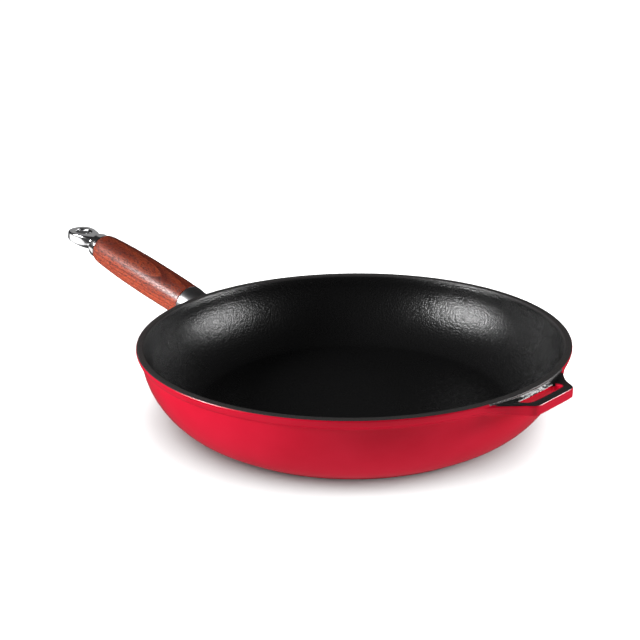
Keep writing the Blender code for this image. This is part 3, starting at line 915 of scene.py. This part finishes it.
black = Finish("black_enamel", Base_Color=(0.011, 0.011, 0.012), Roughness=0.42)
place = black.place()
pebbles = black.cells(place, 740)
grain = black.noise(place, 1700, 2.0, 0.6)
drift = black.noise(place, 30, 2.0)
# The rim top's lighter grey is partly the enamel's own matte tone and partly painted light.
rim_grey_and_light = black.axes(place)[2].step(0.0520, 0.0540)
black.set(Base_Color=black.blend(rim_grey_and_light, black.colours(grain, (0.3, (0.005, 0.005, 0.005)),
                                                       (0.75, (0.012, 0.012, 0.0125))),
                                 (0.050, 0.047, 0.047)),
          Roughness=0.22 + 0.06 * drift + 0.05 * grain + 0.08 * rim_grey_and_light)
black.bumps((pebbles, 0.00018), (grain, 0.00003))


# %% [markdown]
# ## Bare iron and the small hidden parts
# The base is ground after firing, so its iron shows fine rings round the middle over a dark
# grainy casting. The fibre washer is pressed from dark flecked stock, the spring is blued,
# and the rod is bright zinc.

# %% Iron, fibre, spring steel and zinc
iron = Finish("cast_iron", Base_Color=(0.045, 0.045, 0.047), Roughness=0.6, Metallic=0.9)
place = iron.place()
x, y, z = iron.axes(place)
distance = (x * x + y * y) ** 0.5
grain = iron.noise(place, 900, 3.0, 0.65)
rings = iron.noise(iron.node("CombineXYZ", {}, {"X": distance * 2600}).outputs[0], 1.0, 2.0)
ground = z.step(0.0006, 0.0002)
iron.set(Base_Color=iron.blend(ground * (0.4 + 0.6 * rings), iron.colours(
             grain, (0.3, (0.030, 0.030, 0.032)), (0.7, (0.060, 0.059, 0.060))),
             (0.22, 0.215, 0.21)),
         Roughness=0.66 - 0.28 * ground + 0.1 * grain)
iron.bumps((grain * (1 - ground), 0.00008), (rings * ground, 0.00002))

fibre = Finish("heat_fibre", Base_Color=(0.10, 0.085, 0.07), Roughness=0.85)
along = fibre.along_handle()
flecks = fibre.noise(fibre.stretched(along, (1, 1, 4)), 900, 3.0, 0.7)
fibre.set(Base_Color=fibre.colours(flecks, (0.35, (0.05, 0.04, 0.033)), (0.6, (0.12, 0.10, 0.08)),
                                   (0.75, (0.2, 0.17, 0.13))),
          Roughness=0.78 + 0.15 * flecks)
fibre.bumps((flecks, 0.00006))

blued = Finish("spring_steel", Base_Color=(0.30, 0.30, 0.32), Roughness=0.35, Metallic=1.0)
along = blued.along_handle()
tint = blued.noise(along, 260, 2.0)
blued.set(Base_Color=blued.colours(tint, (0.35, (0.16, 0.19, 0.27)), (0.65, (0.33, 0.32, 0.31))),
          Roughness=0.28 + 0.15 * tint)
blued.bumps((blued.noise(along, 2200, 2.0), 0.00001))

zinc = Finish("zinc_plate", Base_Color=(0.52, 0.53, 0.55), Roughness=0.35, Metallic=1.0)
along = zinc.along_handle()
spangle = zinc.cells(along, 700)
zinc.set(Base_Color=zinc.colours(spangle, (0.1, (0.46, 0.47, 0.50)), (0.8, (0.60, 0.61, 0.61))),
         Roughness=0.26 + 0.16 * spangle)
zinc.bumps((zinc.noise(along, 1500, 2.0), 0.00001))


# %% [markdown]
# ## Ferrule and polished steel
# The ferrule is satin: it was brushed as it turned, so its fine lines run round the handle.
# A noise of the distance along the axis gives lines that circle it. The eye and its collar
# are polished, with only the faint waves that polishing leaves.

# %% Satin and polished steel
satin = Finish("ferrule_steel", Base_Color=(0.45, 0.45, 0.46), Roughness=0.30, Metallic=1.0)
along = satin.along_handle()
brushed = satin.noise(satin.stretched(along, (60, 60, 5200)), 1.0, 3.0, 0.7)
cloud = satin.noise(along, 160, 2.0)
satin.set(Base_Color=satin.colours(brushed, (0.3, (0.38, 0.38, 0.39)), (0.7, (0.50, 0.50, 0.505))),
          Roughness=0.24 + 0.10 * brushed + 0.06 * cloud)
satin.bumps((brushed, 0.000006))

polished = Finish("polished_steel", Base_Color=(0.72, 0.72, 0.73), Roughness=0.10, Metallic=1.0)
along = polished.along_handle()
cloud = polished.noise(along, 120, 3.0)
fine = polished.noise(polished.stretched(along, (300, 300, 1500)), 1.0, 3.0, 0.6)
polished.set(Base_Color=polished.colours(cloud, (0.3, (0.68, 0.68, 0.69)), (0.7, (0.75, 0.75, 0.76))),
             Roughness=0.08 + 0.06 * cloud + 0.04 * fine)
polished.bumps((cloud, 0.00003), (fine, 0.000003))


# %% [markdown]
# ## Wood
# The grip is a red-brown hardwood under lacquer. A turned piece cuts across the tree's
# growth rings, and because the grain is never quite in line with the handle, the rings come
# out as long pointed arches where the cut is flat to them and as straight lines beside it.
# So the rings are modelled as the tree has them: the distance from a pith line that lies
# 30 mm from the handle's axis, on the side away from the face that shows the arches, and
# tilts by a little over two degrees. Each ring darkens slowly into its late wood and ends
# in a narrow pale line. Pores are short dark dashes along the grain.

# %% Oiled hardwood
wood = Finish("oiled_hardwood", Base_Color=(0.30, 0.075, 0.035), Roughness=0.35,
              Coat_Weight=0.30, Coat_Roughness=0.22)
along = wood.along_handle()
up, across, run = wood.axes(along)
wander = wood.noise(wood.stretched(along, (30, 30, 9)), 1.0, 2.0)
FACE_UP, FACE_ACROSS, PITH_DEPTH, TILT, RING = 0.857, -0.513, 0.0304, 0.040, 0.0022
depth = up * FACE_UP + across * FACE_ACROSS + PITH_DEPTH + run * TILT
beside = up * FACE_ACROSS - across * FACE_UP
ring_at = (depth * depth + beside * beside) ** 0.5 / RING + 1.1 * wander
ring = ring_at.sum_up("FRACT", ring_at)
late = ring.step(0.30, 0.86) * ring.step(0.97, 0.88)
pale = ring.step(0.84, 0.93) * ring.step(1.0, 0.95)
fibres = wood.noise(wood.stretched(along, (1500, 1500, 130)), 1.0, 3.0, 0.65)
pores = wood.noise(wood.stretched(along, (1250, 1250, 360)), 1.0, 1.0).step(0.52, 0.60)
patch = wood.noise(wood.stretched(along, (70, 70, 16)), 1.0, 2.0)
tone = 0.24 * late + 0.58 * fibres + 0.18 * patch - 0.20 * pale
wood.set(Base_Color=wood.blend(pores * 0.75, wood.colours(
             tone, (0.22, (0.44, 0.082, 0.030)), (0.42, (0.265, 0.035, 0.012)),
             (0.68, (0.120, 0.012, 0.005))), (0.040, 0.005, 0.003)),
         Roughness=0.32 + 0.12 * fibres + 0.22 * pores)
wood.bumps((1 - pores, 0.00010), (fibres, 0.00003))


# %% [markdown]
# ## Dress the pieces
# Every piece gets its finish and the body it rides on, and the CAD part it stands for is hidden.

# %% Finishes and bodies
finish_piece(iron_body, iron, "pan", "cast_iron", "pan_casting")
finish_piece(red_coat, red, "pan", "red_enamel", "outer_enamel")
finish_piece(black_coat, black, "pan", "black_enamel", "inner_enamel")
finish_piece(washer, fibre, "pan", "heat_fibre", "heat_washer")
finish_piece(ferrule, satin, "pan", "ferrule_steel", "handle_ferrule")
finish_piece(grip, wood, "pan", "oiled_hardwood", "wooden_grip")
finish_piece(spring, blued, "pan", "spring_steel", "disc_spring")
finish_piece(collar, polished, "collar", "polished_steel", "end_collar")
finish_piece(rod, zinc, "eye_and_rod", "zinc_plated_steel", "tension_rod")
finish_piece(eye, polished, "eye_and_rod", "polished_steel", "hanging_eye")


# %% [markdown]
# ## The studio
# The pan stands on a wide pale sweep of paper. A soft box at the front left brightens the
# red wall and draws the streak along the grip. A smaller one, low at the back right, lights
# the bowl's left side and the land of the helper handle. The paper has a light of its own
# from above, so that it is white and still takes a soft shadow, while the room over the pan
# stays dark, which keeps the black enamel black and the steel's top side grey.
#
# Light linking lets a lamp shine on chosen objects only. Two cards give the eye and collar
# their bright shapes, and a third lifts the underside of the grip. White paper would also
# mirror itself in the red wall and wash it out, so reflections, bounced light and shadow
# rays pass through it. The lower half of the room stands in for it, bright for bounced
# light and dim for reflections.

# %% Paper
deselect_everything()
bpy.ops.mesh.primitive_circle_add(vertices=96, radius=30, fill_type="NGON",
                                  location=(0, 0, -0.0002))
floor = name_new("studio_floor")
paper = Finish("pale_paper", Base_Color=(0.14, 0.14, 0.14), Roughness=0.9,
               Specular_IOR_Level=0.0, Emission_Strength=1.0)
x, y, z = paper.axes(paper.place())
glow = 0.05 + 0.97 * ((x * x + y * y) ** 0.5).step(0.6, 3.6)
paper.set(Emission_Color=paper.node("CombineColor", {}, {0: glow, 1: glow, 2: glow}).outputs[0])
floor.data.materials.append(paper.material)
floor.visible_glossy = floor.visible_diffuse = floor.visible_shadow = False


# %% Lights and room
def softbox(name, place, aim, size, power):
    light = bpy.data.lights.new(name, "AREA")
    light.shape, light.size, light.size_y = "RECTANGLE", *size
    light.energy = power
    box = bpy.data.objects.new(name, light)
    bpy.context.scene.collection.objects.link(box)
    box.location = place
    box.rotation_euler = (Vector(place) - Vector(aim)).to_track_quat("Z", "Y").to_euler()
    return box


def shine_only_on(light, *objects):
    chosen = bpy.data.collections.new("lit_by_" + light.name)
    for obj in objects:
        chosen.objects.link(obj)
    light.light_linking.receiver_collection = chosen


softbox("front_left", (-0.88, -1.22, 0.72), (-0.05, 0, 0.03), (0.55, 0.45), 31)
softbox("back_right", (1.02, 1.04, 0.46), (0, 0, 0.04), (0.50, 0.38), 15)
shine_only_on(softbox("paper_light", (0.72, 0.02, 2.4), (0.1, 0, 0), (6, 6), 2650), floor)
shine_only_on(softbox("left_card", (-1.12, -0.81, -0.32), (-0.30, 0, 0.06), (0.9, 0.5), 2),
              eye, collar)
shine_only_on(softbox("top_card", (-0.88, 0.81, 0.75), (-0.30, 0, 0.06), (1.2, 1.2), 1.3),
              eye, collar)
shine_only_on(softbox("under_card", (0.0, -0.48, -0.55), (-0.23, 0, 0.05), (0.5, 0.4), 14), grip)

world = bpy.data.worlds.new("studio")
world.use_nodes = True
sky = world.node_tree.nodes["Background"]
BELOW, BELOW_IN_REFLECTIONS, ABOVE = 1.02, 0.08, 0.03
rays = world.node_tree.nodes.new("ShaderNodeLightPath")
height = world.node_tree.nodes.new("ShaderNodeSeparateXYZ")
room = world.node_tree.nodes.new("ShaderNodeMapRange")
seen = world.node_tree.nodes.new("ShaderNodeMath")
seen.operation = "MAXIMUM"
dimmed = world.node_tree.nodes.new("ShaderNodeMath")
dimmed.operation = "MULTIPLY_ADD"
dimmed.inputs[1].default_value = BELOW_IN_REFLECTIONS - BELOW
dimmed.inputs[2].default_value = BELOW
for socket, value in (("From Min", -0.15), ("From Max", 0.05), ("To Max", ABOVE)):
    room.inputs[socket].default_value = value
for source, target in (
        (world.node_tree.nodes.new("ShaderNodeTexCoord").outputs["Generated"], height.inputs[0]),
        (rays.outputs["Is Glossy Ray"], dimmed.inputs[0]), (dimmed.outputs[0], room.inputs["To Min"]),
        (height.outputs["Z"], room.inputs["Value"]), (room.outputs["Result"], seen.inputs[0]),
        (rays.outputs["Is Camera Ray"], seen.inputs[1]), (seen.outputs[0], sky.inputs["Strength"])):
    world.node_tree.links.new(source, target)
sky.inputs["Color"].default_value = (1, 1, 1, 1)
bpy.context.scene.world = world
bpy.context.scene.view_settings.view_transform = "Standard"
